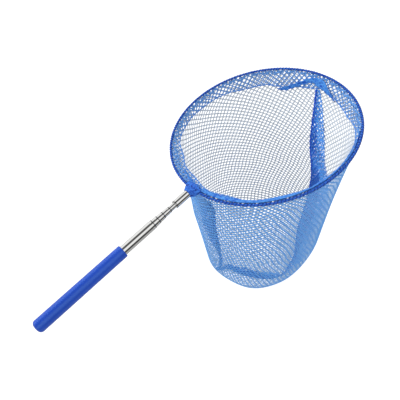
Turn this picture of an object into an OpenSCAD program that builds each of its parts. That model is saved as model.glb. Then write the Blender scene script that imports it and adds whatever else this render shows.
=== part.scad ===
// Telescopic hand net: a round wire hoop with a sewn mesh bag, on a handle of
// five steel tubes that slide and turn in each other, with a soft grip.
//
// Millimetres. +X runs along the handle from the grip to the hoop, the hoop
// lies in the XY plane and the bag hangs towards -Z. The origin is on the
// handle's axis at the middle of the grip. The handle is drawn pushed in.

/* [Hoop] */
// Diameter of the hoop, to the middle of its wire
hoop_d = 206; // [170:1:240]
// Diameter of the spring wire
wire_d = 2.2; // [1.8:0.1:2.4]
// Radius of the bend where the hoop turns into its two tails
neck_bend_r = 5; // [4:0.5:8]
// Wall of the rolled netting hem round the wire
casing_wall = 0.5; // [0.4:0.1:0.9]

/* [Net bag] */
// Depth of the bag under the hoop
bag_depth = 226; // [180:1:280]
// How far the bottom of the bag hangs back towards the grip
bag_lean = 46; // [0:1:60]
// Share of the hoop's width that the bag loses on its way down
bag_taper = 0.25; // [0.1:0.01:0.4]
// Share of the hoop's width that the bag loses across the handle besides
bag_flatten = 0.11; // [0:0.01:0.2]
// Share of the depth at which the bottom starts to round off
round_from = 0.75; // [0.6:0.01:0.85]
// Fullness of the rounding at the bottom
round_power = 1.65; // [1.4:0.05:2.4]
// Openings of the netting across each panel
mesh_across = 12; // [6:1:12]
// Openings of the netting down the straight side of each panel
mesh_down = 8; // [5:1:10]
// Width of the netting between its openings
mesh_bar = 5; // [3:0.5:7]
// Thickness of the netting as it hangs
net_wall = 1; // [0.8:0.1:1.5]
// Depth of the hem's inner flap below the wire
flap_depth = 12; // [6:1:20]
// Thickness of the hem's inner flap
flap_wall = 0.8; // [0.6:0.1:1.2]
// Width of the seam allowance under the hoop on the far side
far_seam_top = 7; // [5:0.5:12]
// Width of the seam allowance at its widest, on the far side
far_seam_wide = 38; // [20:1:42]
// Width of the seam allowance under the hoop on the near side
near_seam_top = 24; // [12:1:30]
// Width of the seam allowance where it runs under the bottom
low_seam = 6; // [4:0.5:10]
// Thickness of the seam allowance, two nets and their stitching
seam_wall = 1.2; // [0.8:0.1:2]
// Angle by which the far seam wanders round the bag on its way down
seam_drift = 18; // [0:1:30]
// How far the seam's lowest point lies to the side of the bag's middle
seam_sway = 40; // [0:1:45]

/* [Ferrule] */
// Outer diameter of the ferrule that joins the hoop to the handle
ferrule_d = 8.3; // [8:0.1:10]
// Length of the ferrule
ferrule_len = 19; // [18:1:30]
// Wall of the ferrule
ferrule_wall = 0.45; // [0.3:0.05:0.5]
// Length of the last tube that sits inside the ferrule
tip_insert = 9; // [6:0.5:9]
// Length of the plug that holds the wire's tails
wire_plug_len = 8; // [5:0.5:8.5]

/* [Tubes] */
// Outer diameter of the widest tube
outer_tube_d = 10; // [9.6:0.1:10.4]
// Step in diameter from one tube to the next
tube_step_d = 1; // [0.9:0.05:1.1]
// Wall of each tube
tube_wall = 0.25; // [0.2:0.01:0.3]
// Length of the widest tube
tube_len = 137; // [125:1:170]
// Length of the plug that closes the widest tube's base
tube_plug_len = 6.2; // [4:0.1:10]
// Length of the second tube that shows when the handle is pushed in
show_2 = 6.5; // [5:0.5:10]
// Length of the third tube that shows when the handle is pushed in
show_3 = 7; // [5:0.5:10]
// Length of the fourth tube that shows when the handle is pushed in
show_4 = 8.5; // [5:0.5:10]
// Length of the fifth tube that shows when the handle is pushed in
show_5 = 6.5; // [5:0.5:10]
// Length of the rolled-in mouth of a tube
mouth_len = 3; // [2:0.5:5]
// Length of the spring clips on the base of each inner tube
clip_len = 6; // [4:0.5:14]
// Angle that each spring clip wraps round its tube
clip_wrap = 168; // [120:1:172]
// Depth of the seat that is rolled into a tube for its clips
clip_seat_depth = 0.15; // [0.1:0.01:0.2]
// Thickness of the foot's flange below a tube
flange_len = 1.5; // [1:0.1:2]

/* [Grip] */
// Outer diameter of the soft grip
grip_d = 13.2; // [12.6:0.1:18]
// Length of the grip
grip_len = 102; // [80:1:115]
// Thickness of the grip's closed end
grip_end = 4; // [3:0.5:8]
// Radius of the rounding at the closed end
butt_round = 3.5; // [2:0.5:5]
// Radius of the rounding at the grip's mouth
lip_round = 1; // [0.5:0.1:1.2]

/* [Clearances] */
// Radial clearance of a pressed fit
press_clear = 0.01; // [0.005:0.005:0.02]
// Radial clearance of a tube in the mouth of the next one
run_clear = 0.05; // [0.02:0.01:0.08]
// Radial clearance of the spring clips, inside and outside
clip_clear = 0.02; // [0.01:0.01:0.04]
// Gap between pieces that stop against each other
stop_gap = 0.3; // [0.1:0.1:0.5]
// Gap between a soft piece and its neighbour
soft_gap = 0.3; // [0.2:0.05:0.5]

/* [Hidden] */

// Roundness of turned pieces, and of the thin wire
TURN = 64;
WIRE = 24;

// Colours
FOAM_BLUE = "#2d55c8";
NET_BLUE = "#4f86dd";
HEM_BLUE = "#2a52ac";
STEEL = "#c9cbcd";
BRASS = "#c8a24a";
SPRING = "#b98850";

// Handle, from the butt towards the hoop. Tube 1 is the widest and stands on
// the grip's closed end, tube 2 on the plug in its base, and each further tube
// on the shoulder above the last one's seat, which is too narrow for its clips
grip_x = -grip_len / 2;
shows = [0, show_2, show_3, show_4, show_5];
seat_len = flange_len + clip_len + 2 * stop_gap;
seat_ramp = 0.6;

// Places of the base and the mouth of tube k
function base_x(k) =
    k == 1 ? grip_x + grip_end
    : base_x(k - 1) + stop_gap + (k == 2 ? tube_plug_len : seat_len + seat_ramp);
function mouth_x(k) = k == 1 ? base_x(1) + tube_len : mouth_x(k - 1) + shows[k - 1];
// Radii of tube k
function tube_r(k) = (outer_tube_d - (k - 1) * tube_step_d) / 2;
function bore_r(k) = tube_r(k) - tube_wall;
function seat_r(k) = tube_r(k) - clip_seat_depth;

ferrule_x = mouth_x(5);
ferrule_end_x = ferrule_x + ferrule_len;
ferrule_r = ferrule_d / 2;
ferrule_bore_r = ferrule_r - ferrule_wall;
lip_bead = 0.15;
lip_len = 1;

// Hoop
wire_r = wire_d / 2;
hoop_r = hoop_d / 2;
casing_r = wire_r + casing_wall;
tail_gap = 0.1;
tail_y = wire_r + tail_gap / 2;
// Middle of the neck's bend, which touches the hoop and the tail
bend_out = hoop_r + neck_bend_r;
bend_y = tail_y + neck_bend_r;
neck_angle = asin(bend_y / bend_out);
bend_x = bend_out * cos(neck_angle);
// The hoop's middle lies where its tails start just past the ferrule
neck_show = 1.2;
hoop_x = ferrule_end_x + neck_show + bend_x;
tail_len = neck_show + wire_plug_len;
// Length by which the wire's arcs run into each other, to be one rod
weld_len = 0.2;
weld_angle = weld_len / neck_bend_r * 180 / PI;
// Bending draws the wire, and the netting round it, in by a hair
bend_draw = 0.03;
casing_end_angle = (weld_len + soft_gap) / hoop_r * 180 / PI;

// Bag: its depth runs from the hem's underside down to its lowest point
net_top = casing_r + soft_gap;
flap_inset = net_wall + soft_gap;
taper_bow = 0.7;
// Rings of openings round the bottom, and in all; the lowest point stays closed
MESH_LOW = 4;
mesh_rings = mesh_down + MESH_LOW;
FLAP_STEPS = 48;

// Share of the depth at ring i of the openings: even steps down the side, then
// steps round the bottom
function ring_share(i) =
    i <= mesh_down
        ? round_from * i / mesh_down
        : round_from + (1 - round_from) * sin(90 * (i - mesh_down) / (MESH_LOW + 1));
// Width of the bag at a share of its depth, as a share of the hoop's
function side_width(s) = 1 - bag_taper * pow(s, taper_bow);
function bottom_width(s) =
    s <= round_from ? 1
    : pow(max(0, 1 - pow((s - round_from) / (1 - round_from), round_power)), 1 / round_power);
// Point of the bag's surface, moved inwards by inset
function net_point(s, angle, inset = 0) =
    let (
        r = hoop_r + net_wall / 2,
        along = r * side_width(s) - inset,
        across = r * (side_width(s) - bag_flatten * s) - inset,
        drop = bag_depth - net_top - inset
    ) [
        hoop_x - bag_lean * s + along * bottom_width(s) * cos(angle),
        across * bottom_width(s) * sin(angle) - seam_sway * (1 - bottom_width(s)),
        -net_top - drop * s
    ];
// Angle of the far seam at a share of the depth; the near one keeps to 180
function seam_angle(s) = -seam_drift * s;
// The seam allowance: its steps across, its lip past the seam, where it is
// widest, and how far it rises to clear the netting's flat facets
SEAM_STEPS = 4;
seam_lip = 1.5;
seam_wide_at = 0.6;
side_rise = 0.6;
low_rise = 1.8;

// ---------------------------------------------------------------- helpers

// Turns what is drawn along Z so that it runs along X
module along_x(x = 0) {
    translate([x, 0, 0]) rotate([0, 90, 0]) children();
}

// A turned piece from a profile of [radius, place] points
module turned(profile, x = 0, angle = 360) {
    along_x(x) rotate_extrude(angle = angle, $fn = TURN) polygon(profile);
}

// Points of a quarter circle, from one angle to another
function arc(cx, cy, r, from, to, steps = 6) =
    [for (i = [0:steps]) let (a = from + (to - from) * i / steps) [cx + r * cos(a), cy + r * sin(a)]];

// A closed skin between rows of outer and inner points, with openings. Both
// lists hold the same rows of the same length, and the last row of each is one
// single point. Rows come in pairs and columns in threes: an opening lies between
// the rows of a pair and takes both steps between the columns of its three.
module openwork_shell(outer, inner) {
    rows = len(outer) - 1;
    cols = len(outer[0]);
    points = concat(
        [for (row = [0:rows - 1]) each outer[row]], [outer[rows][0]],
        [for (row = [0:rows - 1]) each inner[row]], [inner[rows][0]]
    );
    skin = rows * cols + 1;
    tip = rows * cols;
    function at(side, row, col) = side * skin + row * cols + col;
    function quad(a, b, c, d) = [[a, b, c], [a, c, d]];
    function is_open(row, col) = row % 2 == 1 && col % 3 != 0;
    // The wall between the skins along one edge
    function wall(row_a, col_a, row_b, col_b) =
        quad(at(0, row_a, col_a), at(0, row_b, col_b), at(1, row_b, col_b), at(1, row_a, col_a));
    faces = concat(
        [for (side = [0, 1], row = [0:rows - 2], col = [0:cols - 2]) if (!is_open(row, col))
            each let (q = quad(at(side, row, col), at(side, row, col + 1),
                               at(side, row + 1, col + 1), at(side, row + 1, col)))
                side == 0 ? q : [for (t = q) [t[2], t[1], t[0]]]],
        [for (row = [1:2:rows - 3], col = [1:3:cols - 4]) each concat(
            wall(row, col, row, col + 1), wall(row, col + 1, row, col + 2),
            wall(row, col + 2, row + 1, col + 2), wall(row + 1, col + 2, row + 1, col + 1),
            wall(row + 1, col + 1, row + 1, col), wall(row + 1, col, row, col))],
        [for (col = [0:cols - 2]) [at(0, rows - 1, col), at(0, rows - 1, col + 1), tip]],
        [for (col = [0:cols - 2]) [at(1, rows - 1, col + 1), at(1, rows - 1, col), skin + tip]],
        [for (col = [0:cols - 2]) each wall(0, col + 1, 0, col)],
        [for (row = [0:rows - 2]) each wall(row, 0, row + 1, 0)],
        [for (row = [0:rows - 2]) each wall(row + 1, cols - 1, row, cols - 1)],
        [[at(0, rows - 1, 0), tip, skin + tip], [at(0, rows - 1, 0), skin + tip, at(1, rows - 1, 0)]],
        [[at(0, rows - 1, cols - 1), skin + tip, tip],
         [at(0, rows - 1, cols - 1), at(1, rows - 1, cols - 1), skin + tip]]
    );
    polyhedron(points, faces);
}

// A closed slab between two equal grids of points
module sheet_solid(upper, lower) {
    rows = len(upper);
    cols = len(upper[0]);
    points = concat([for (row = upper) each row], [for (row = lower) each row]);
    function at(side, row, col) = side * rows * cols + row * cols + col;
    function quad(a, b, c, d) = [[a, b, c], [a, c, d]];
    function wall(row_a, col_a, row_b, col_b) =
        quad(at(0, row_a, col_a), at(1, row_a, col_a), at(1, row_b, col_b), at(0, row_b, col_b));
    polyhedron(points, concat(
        [for (row = [0:rows - 2], col = [0:cols - 2])
            each quad(at(0, row, col), at(0, row, col + 1), at(0, row + 1, col + 1), at(0, row + 1, col))],
        [for (row = [0:rows - 2], col = [0:cols - 2])
            each quad(at(1, row, col), at(1, row + 1, col), at(1, row + 1, col + 1), at(1, row, col + 1))],
        [for (col = [0:cols - 2]) each wall(0, col, 0, col + 1)],
        [for (col = [0:cols - 2]) each wall(rows - 1, col + 1, rows - 1, col)],
        [for (row = [0:rows - 2]) each wall(row + 1, 0, row, 0)],
        [for (row = [0:rows - 2]) each wall(row, cols - 1, row + 1, cols - 1)]
    ));
}

// ---------------------------------------------------------------- handle

// The soft grip: a sleeve with a closed, rounded butt
module grip() {
    r = grip_d / 2;
    bore = tube_r(1) + press_clear;
    profile = concat(
        [[0, 0]],
        arc(r - butt_round, butt_round, butt_round, -90, 0),
        arc(r - lip_round, grip_len - lip_round, lip_round, 0, 90),
        [[bore, grip_len], [bore, grip_end], [0, grip_end]]
    );
    color(FOAM_BLUE) turned(profile, grip_x);
}

// Wall of tube k from its base to its rolled-in mouth, from place 0 upwards
function tube_wall_profile(k, length, foot, mouth_r) =
    let (
        r = tube_r(k),
        b = bore_r(k),
        shoulder = seat_len + seat_ramp,
        d = foot > 0 ? clip_seat_depth : 0,
        neck = length - mouth_len + seat_ramp,
        roll = r - (mouth_r + tube_wall)
    ) concat(
        [[r - d, foot], [r - d, seat_len], [r, shoulder]],
        [[r, length - mouth_len], [r - roll, neck]],
        [[r - roll, length - tube_wall / 2], [mouth_r + tube_wall / 2, length]],
        [[mouth_r, length - tube_wall / 2], [mouth_r, neck]],
        [[b, length - mouth_len], [b, shoulder], [b - d, seat_len], [b - d, foot]]
    );

// The widest tube, half of it inside the grip
module outer_tube() {
    color(STEEL)
        turned(tube_wall_profile(1, tube_len, 0, tube_r(2) + run_clear), base_x(1));
}

// The plug that closes the widest tube's base
module tube_plug() {
    r = bore_r(1) - press_clear;
    chamfer = 0.4;
    top = tube_plug_len;
    color(BRASS)
        turned([[0, 0], [r, 0], [r, top - chamfer], [r - chamfer, top], [0, top]], base_x(1));
}

// Tubes 2 to 5: a seat for the spring clips at the base, a rolled-in mouth
module inner_tube(k) {
    last = k == 5;
    length = mouth_x(k) - base_x(k) + (last ? tip_insert : 0);
    mouth_r = last ? bore_r(5) : tube_r(k + 1) + run_clear;
    color(STEEL) turned(tube_wall_profile(k, length, flange_len, mouth_r), base_x(k));
}

// Two half-round spring clips that grip the bore of the tube outside
module spring_clips(k) {
    r_in = seat_r(k) + clip_clear;
    r_out = bore_r(k - 1) - clip_clear;
    relief = 0.12;
    end = clip_len / 4;
    profile = [
        [r_in, 0], [r_out - relief, 0], [r_out, end],
        [r_out, clip_len - end], [r_out - relief, clip_len], [r_in, clip_len]
    ];
    color(SPRING) for (side = [0, 180])
        rotate([side + (180 - clip_wrap) / 2, 0, 0])
            turned(profile, base_x(k) + flange_len + stop_gap, clip_wrap);
}

// The foot pressed into a tube's seat, as long as the seat: its flange keeps
// the clips on and stands on the shoulder of the tube outside
module foot(k) {
    flange_r = bore_r(k - 1) - run_clear;
    plug_r = bore_r(k) - clip_seat_depth - press_clear;
    chamfer = 0.4;
    length = seat_len;
    color(BRASS) turned([
        [0, 0], [flange_r - chamfer / 2, 0], [flange_r, chamfer / 2], [flange_r, flange_len],
        [plug_r, flange_len], [plug_r, length - chamfer], [plug_r - chamfer, length], [0, length]
    ], base_x(k));
}

// ---------------------------------------------------------------- ferrule

// The ferrule: a plain steel sleeve with a rolled lower lip
module ferrule() {
    r = ferrule_r;
    b = ferrule_bore_r;
    soft = 0.2;
    color(STEEL) turned(concat(
        [[b, soft], [b + soft, 0]],
        arc(r + lip_bead - soft, soft, soft, -90, 0, 4),
        [[r + lip_bead, lip_len - soft], [r, lip_len + soft]],
        [[r, ferrule_len - soft], [r - soft, ferrule_len], [b, ferrule_len]]
    ), ferrule_x);
}

// The bush that centres the last tube in the ferrule
module tip_bush() {
    color(BRASS) along_x(ferrule_x + lip_len) difference() {
        cylinder(r = ferrule_bore_r - press_clear, h = tip_insert - lip_len, $fn = TURN);
        translate([0, 0, -1])
            cylinder(r = tube_r(5) + press_clear, h = tip_insert + 1, $fn = TURN);
    }
}

// The plug in the ferrule's top that holds both tails of the hoop
module wire_plug() {
    color(BRASS) along_x(ferrule_end_x - wire_plug_len) difference() {
        cylinder(r = ferrule_bore_r - press_clear, h = wire_plug_len, $fn = TURN);
        for (side = [-1, 1]) translate([0, side * tail_y, -1])
            cylinder(r = wire_r + press_clear, h = wire_plug_len + 2, $fn = WIRE);
    }
}

// ---------------------------------------------------------------- hoop

// A rod along the hoop, from one side of the neck round to the other
module hoop_rod(r, spare_angle = 0) {
    open = neck_angle + spare_angle;
    translate([hoop_x, 0, 0]) rotate([0, 0, 180 + open])
        rotate_extrude(angle = 360 - 2 * open, $fn = 4 * TURN)
            translate([hoop_r, 0]) circle(r = r, $fn = WIRE);
}

// A rod along one bend of the neck
module neck_rod(r, side) {
    scale([1, side, 1]) translate([hoop_x - bend_x, bend_y, 0]) rotate([0, 0, -90])
        rotate_extrude(angle = 90 - neck_angle + weld_angle, $fn = TURN)
            translate([neck_bend_r, 0]) circle(r = r - bend_draw, $fn = WIRE);
}

// A rod along one tail, from the neck back into the ferrule
module tail_rod(r, side, length) {
    translate([hoop_x - bend_x - length, side * tail_y, 0]) rotate([0, 90, 0])
        cylinder(r = r, h = length + weld_len, $fn = WIRE);
}

// The spring wire: the hoop, both bends of its neck and both tails
module hoop_wire() {
    color(STEEL) {
        hoop_rod(wire_r);
        for (side = [-1, 1]) {
            neck_rod(wire_r, side);
            tail_rod(wire_r, side, tail_len);
        }
    }
}

// The netting's hem, rolled round the wire
module rim_casing() {
    color(HEM_BLUE) difference() {
        hoop_rod(casing_r, casing_end_angle);
        hoop_rod(wire_r + press_clear);
    }
}

// The bunched netting that is bound round the neck and the ferrule's end
module neck_gather() {
    barrel_len = 4;
    barrel_r = ferrule_r + 1;
    start = ferrule_end_x - 1.5;
    color(HEM_BLUE) difference() {
        union() {
            turned([
                [0, 0], [barrel_r - 0.6, 0], [barrel_r, 0.8], [barrel_r, barrel_len - 1.4],
                [barrel_r - 1.4, barrel_len], [0, barrel_len]
            ], start);
            for (side = [-1, 1]) neck_rod(casing_r, side);
        }
        along_x(start - 1) cylinder(r = ferrule_r + soft_gap / 2, h = 2.5 + soft_gap, $fn = TURN);
        for (side = [-1, 1]) {
            neck_rod(wire_r + press_clear, side);
            tail_rod(wire_r + press_clear, side, tail_len);
        }
    }
}

// ---------------------------------------------------------------- bag

// Half a bar of netting, as a share of an opening's step down and of its step
// across at a share of the depth, where the bars draw together at the bottom
bar_down = mesh_bar / 2 / (bag_depth * round_from / mesh_down);
bar_limit = 0.35;
function bar_across(s) =
    min(bar_limit, mesh_bar / 2 * mesh_across / (PI * hoop_r * side_width(s) * bottom_width(s)));

// Shares of the depth, and shares of a panel's width, at which its openings
// start and end
net_shares = concat(
    [0],
    [for (i = [0:mesh_rings - 1]) let (top = ring_share(i), low = ring_share(i + 1))
        each [top + (low - top) * bar_down, low - (low - top) * bar_down]],
    [ring_share(mesh_rings), 1]
);
function net_parts(bar) = concat(
    [0], [for (j = [0:mesh_across - 1]) each [j + bar, j + 0.5, j + 1 - bar]], [mesh_across]
) / mesh_across;

// Rows of points over one half of the bag, from the hem to the lowest point
function panel_rows(inset, front) = [
    for (s = net_shares)
        let (far = seam_angle(s), near = front ? -180 : 180)
            [for (part = net_parts(s < 1 ? bar_across(s) : bar_limit))
                net_point(s, far + (near - far) * part, inset)]
];

// The panel of netting on the -Y side of the seam
module front_net() {
    color(NET_BLUE) openwork_shell(panel_rows(0, true), panel_rows(net_wall, true));
}

// The panel of netting on the +Y side of the seam
module back_net() {
    color(NET_BLUE) openwork_shell(panel_rows(net_wall, false), panel_rows(0, false));
}

// The inner flap of the hem: a band that hangs inside the bag's mouth, bent
// where the netting's first openings start
module hem_flap() {
    bend = net_shares[1];
    low = flap_depth / (bag_depth - net_top);
    ring = [[0, 0], [bend, 0], [low, 0], [low, flap_wall], [bend, flap_wall], [0, flap_wall]];
    corners = len(ring);
    points = [for (j = [0:FLAP_STEPS - 1], corner = ring)
        net_point(corner[0], 360 * j / FLAP_STEPS, flap_inset + corner[1])];
    function at(j, k) = (j % FLAP_STEPS) * corners + k % corners;
    color(NET_BLUE) polyhedron(points, [for (j = [0:FLAP_STEPS - 1], k = [0:corners - 1])
        each [[at(j, k), at(j, k + 1), at(j + 1, k + 1)], [at(j, k), at(j + 1, k + 1), at(j + 1, k)]]]);
}

// Widths of the seam allowance at a share of the depth, on the far and near side
function far_seam_width(s) =
    lookup(s, [[0, far_seam_top], [seam_wide_at, far_seam_wide], [1, low_seam]]);
function near_seam_width(s) =
    lookup(s, [[0, near_seam_top], [seam_wide_at, low_seam], [1, low_seam]]);

// The seam allowance: both nets' edges, overlocked, lying on the netting in one
// U from the flap on the far side down and up again to the near side
module seam_allowance() {
    top = (flap_depth + 2 * soft_gap) / (bag_depth - net_top);
    shares = concat([top], [for (i = [1:mesh_rings - 1]) ring_share(i)]);
    last = len(shares) - 1;
    // Points across the strip run from one of its edges to the other
    steps = [for (k = [0:SEAM_STEPS]) k / SEAM_STEPS];
    function rise(s) = flap_inset + low_rise - (low_rise - side_rise) * bottom_width(s);
    function turn(s, length) =
        length / (hoop_r * (side_width(s) - bag_flatten * s) * bottom_width(s)) * 180 / PI;
    function far_row(s, up) =
        [for (t = steps)
            net_point(s, seam_angle(s) + turn(s, seam_lip - far_seam_width(s) * t), rise(s) + up)];
    function low_row(up) =
        [for (t = steps) net_point(1, 0, rise(1) + up) + [0, low_seam * (0.5 - t), 0]];
    function near_row(s, up) =
        [for (t = steps) net_point(s, 180 + turn(s, near_seam_width(s) * (t - 0.5)), rise(s) + up)];
    function rows(up) = concat(
        [for (s = shares) far_row(s, up)], [low_row(up)],
        [for (i = [last:-1:0]) near_row(shares[i], up)]
    );
    color(HEM_BLUE) sheet_solid(rows(seam_wall), rows(0));
}

// ---------------------------------------------------------------- nodes

grip();
outer_tube();
tube_plug();
inner_tube(2);  // tube_2
inner_tube(3);  // tube_3
inner_tube(4);  // tube_4
inner_tube(5);  // tube_5
spring_clips(2);  // clips_2
spring_clips(3);  // clips_3
spring_clips(4);  // clips_4
spring_clips(5);  // clips_5
foot(2);  // foot_2
foot(3);  // foot_3
foot(4);  // foot_4
foot(5);  // foot_5
tip_bush();
ferrule();
wire_plug();
hoop_wire();
rim_casing();
neck_gather();
front_net();
back_net();
hem_flap();
seam_allowance();
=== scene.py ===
# %% [markdown]
# # A telescopic hand net, dressed for its picture
#
# The construction is already there: tubes, clips, feet, ferrule and hoop come in as a fixed
# frame, each at its real size. What is left for this script is what a lathe can't make: knitted
# netting, its hem and its seam, and the finish of every surface.

# %% Load the frame
from math import ceil, cos, pi, radians, sin

import bpy
import numpy as np
from mathutils import Matrix, Vector


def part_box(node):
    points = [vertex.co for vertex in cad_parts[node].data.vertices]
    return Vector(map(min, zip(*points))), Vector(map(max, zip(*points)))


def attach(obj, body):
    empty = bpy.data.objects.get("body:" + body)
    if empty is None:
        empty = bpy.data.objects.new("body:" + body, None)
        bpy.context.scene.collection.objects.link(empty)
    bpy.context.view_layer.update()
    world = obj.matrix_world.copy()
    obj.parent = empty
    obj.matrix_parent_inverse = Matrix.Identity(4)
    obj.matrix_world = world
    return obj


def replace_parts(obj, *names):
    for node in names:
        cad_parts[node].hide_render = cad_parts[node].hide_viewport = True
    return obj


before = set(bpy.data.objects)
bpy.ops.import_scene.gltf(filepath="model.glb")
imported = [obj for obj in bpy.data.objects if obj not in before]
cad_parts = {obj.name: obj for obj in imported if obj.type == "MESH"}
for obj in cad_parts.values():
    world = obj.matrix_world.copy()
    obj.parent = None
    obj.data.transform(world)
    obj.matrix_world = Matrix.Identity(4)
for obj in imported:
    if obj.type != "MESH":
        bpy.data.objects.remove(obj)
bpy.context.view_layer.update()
MM = 0.001
NET_BODY = "net_head"

# %% [markdown]
# ## Camera
#
# The camera comes first, because the framing decides how much detail each piece needs. It is
# placed by its direction from a target, then rolled, so the handle runs up across the frame.

# %% Camera
CAMERA_TARGET = Vector((0.138614, -0.016776, 0.0))
CAMERA_AZIMUTH = radians(-23.972)
CAMERA_ELEVATION = radians(49.864)
CAMERA_ROLL = radians(-23.422)
CAMERA_DISTANCE = 0.397321
LENS = 36.0


def add_camera():
    """A camera that looks at the target from the given direction, rolled about its own axis."""
    back = Vector((
        sin(CAMERA_AZIMUTH) * cos(CAMERA_ELEVATION),
        -cos(CAMERA_AZIMUTH) * cos(CAMERA_ELEVATION),
        sin(CAMERA_ELEVATION),
    ))
    level = (-back).cross(Vector((0, 0, 1))).normalized()
    upright = level.cross(-back)
    right = level * cos(CAMERA_ROLL) + upright * sin(CAMERA_ROLL)
    up = back.cross(right)
    camera = bpy.data.objects.new("camera", bpy.data.cameras.new("camera"))
    camera.data.lens = LENS
    camera.data.sensor_width = LENS
    camera.data.clip_start = 0.01
    turn = Matrix((right, up, back)).transposed().to_4x4()
    camera.matrix_world = Matrix.Translation(CAMERA_TARGET + back * CAMERA_DISTANCE) @ turn
    bpy.context.scene.collection.objects.link(camera)
    bpy.context.scene.camera = camera


add_camera()
print("camera at", [round(x, 4) for x in bpy.context.scene.camera.location])

# %% [markdown]
# ## Shader arithmetic
#
# A material is a sum written in nodes. Wiring Math nodes by hand hides the sum, so one small
# class wraps a socket and lets Python's own operators add the nodes. Numbers and vectors both
# work, and every other node comes from the one method called node.


# %% A socket that takes arithmetic
class Wire:
    """A socket in a node tree; + - * on it add Math or Vector Math nodes."""

    def __init__(self, tree, socket=None):
        self.tree = tree
        self.socket = socket

    def node(self, kind, settings=None, inputs=None, out=0):
        """Add a node: its settings first, then the values or links of its sockets."""
        made = self.tree.nodes.new(kind)
        for name, value in (settings or {}).items():
            setattr(made, name, value)
        for name, value in (inputs or {}).items():
            if isinstance(value, Wire):
                self.tree.links.new(value.socket, made.inputs[name])
            else:
                made.inputs[name].default_value = value
        return Wire(self.tree, made.outputs[out])

    def sum(self, operation, first, second):
        """One arithmetic node; it is a Vector Math node where the socket is a vector."""
        if self.socket.type != "VECTOR":
            return self.node("ShaderNodeMath", {"operation": operation}, {0: first, 1: second})
        triples = [v if isinstance(v, (Wire, tuple)) else (v, v, v) for v in (first, second)]
        return self.node("ShaderNodeVectorMath", {"operation": operation}, dict(enumerate(triples)))

    def __add__(self, other):
        return self.sum("ADD", self, other)

    def __radd__(self, other):
        return self.sum("ADD", other, self)

    def __sub__(self, other):
        return self.sum("SUBTRACT", self, other)

    def __rsub__(self, other):
        return self.sum("SUBTRACT", other, self)

    def __mul__(self, other):
        return self.sum("MULTIPLY", self, other)

    def __rmul__(self, other):
        return self.sum("MULTIPLY", other, self)

    def step(self, low, high):
        """0 below low, 1 above high, and a smooth rise between them."""
        return self.node(
            "ShaderNodeMapRange", {"interpolation_type": "SMOOTHSTEP"},
            {"Value": self, "From Min": low, "From Max": high},
        )

    def blend(self, dark, light):
        """A colour between two others, by this number."""
        return self.node(
            "ShaderNodeMix", {"data_type": "RGBA"}, {0: self, 6: dark, 7: light}, out=2
        )


# %% Colours
def srgb(red, green, blue):
    """A colour as a screen shows it, 0 to 255, turned into the light that a shader counts in."""
    def light(value):
        value /= 255
        return value / 12.92 if value <= 0.04045 else ((value + 0.055) / 1.055) ** 2.4
    return (light(red), light(green), light(blue), 1.0)


def grey(level):
    """A grey, given as the light that a shader counts in."""
    return (level, level, level, 1.0)


print("middle grey as light:", round(srgb(128, 128, 128)[0], 3))


# %% A material with its Principled shader
def material(name, constants, build):
    """A material whose constants sit on the shader, and whose build function wires the rest."""
    made = bpy.data.materials.new(name)
    made.use_nodes = True
    tree = made.node_tree
    shader = tree.nodes["Principled BSDF"]
    for socket, value in constants.items():
        shader.inputs[socket].default_value = value
    for socket, value in build(Wire(tree)).items():
        tree.links.new(value.socket, shader.inputs[socket])
    return made


def bump(height, distance, strength=1.0):
    """The Normal that a height makes, where distance is the relief in metres."""
    return height.node(
        "ShaderNodeBump", inputs={"Height": height, "Distance": distance, "Strength": strength}
    )


def place_in(wire, stretch=(1.0, 1.0, 1.0)):
    """The object's own coordinates, stretched along its axes."""
    return wire.node("ShaderNodeTexCoord", out="Object") * stretch


def noise(wire, where, scale, detail=2.0):
    """Soft noise between 0 and 1."""
    return wire.node("ShaderNodeTexNoise", inputs={"Vector": where, "Scale": scale, "Detail": detail})


def cells(wire, where, scale):
    """The distance to the middle of the nearest cell of a random honeycomb."""
    return wire.node("ShaderNodeTexVoronoi", inputs={"Vector": where, "Scale": scale})


# %% [markdown]
# ## Light
#
# Polished tube is a mirror, and in a white room it would vanish. So what gloss sees carries two
# dark bands along the handle, as a studio's black cards give, one overhead and one at the horizon
# on -Y. They are bands of direction, and stay put when the camera moves. To gloss the floor is a
# card too, grey below the net and dark beyond an edge on -Y, and the lamps are hidden. Matt
# surfaces see plain light from all round, and two lamps.

# %% World
PLAIN_LIGHT = 0.78
# For each band: its start and end in degrees of lean across the handle, and how much light it
# takes. The last gives light, which only draws in the edge of the first, as white is the most
BANDS = ((-26, 23, 0.90), (70, 110, 0.95), (-66, -32, -4.0))
BAND_EDGE = 8


def add_world():
    """White to the camera, banded to gloss, plain soft light to everything else."""
    world = bpy.data.worlds.new("studio")
    world.use_nodes = True
    bpy.context.scene.world = world
    tree = world.node_tree
    wire = Wire(tree)
    toward = wire.node("ShaderNodeTexCoord", out="Generated")
    across, up = (wire.node("ShaderNodeSeparateXYZ", inputs={0: toward}, out=axis) for axis in "YZ")
    lean = wire.node("ShaderNodeMath", {"operation": "ARCTAN2"}, {0: across * -1, 1: up})
    light = 1.0
    for low, high, depth in BANDS:
        rise, fall = (lean.step(radians(at - BAND_EDGE), radians(at + BAND_EDGE)) for at in (low, high))
        light = light * (1 - (rise - fall) * depth)
    gloss = light.blend(grey(0.0), grey(1.0))
    seen = wire.node("ShaderNodeLightPath", out="Is Glossy Ray").blend(grey(PLAIN_LIGHT), gloss)
    clear = wire.node("ShaderNodeLightPath", out="Is Transmission Ray").blend(seen, grey(1.0))
    shown = wire.node("ShaderNodeLightPath", out="Is Camera Ray").blend(clear, grey(1.0))
    tree.links.new(shown.socket, tree.nodes["Background"].inputs["Color"])


add_world()
bpy.context.scene.view_settings.view_transform = "Standard"
print("bands that gloss sees:", len(BANDS))

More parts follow.
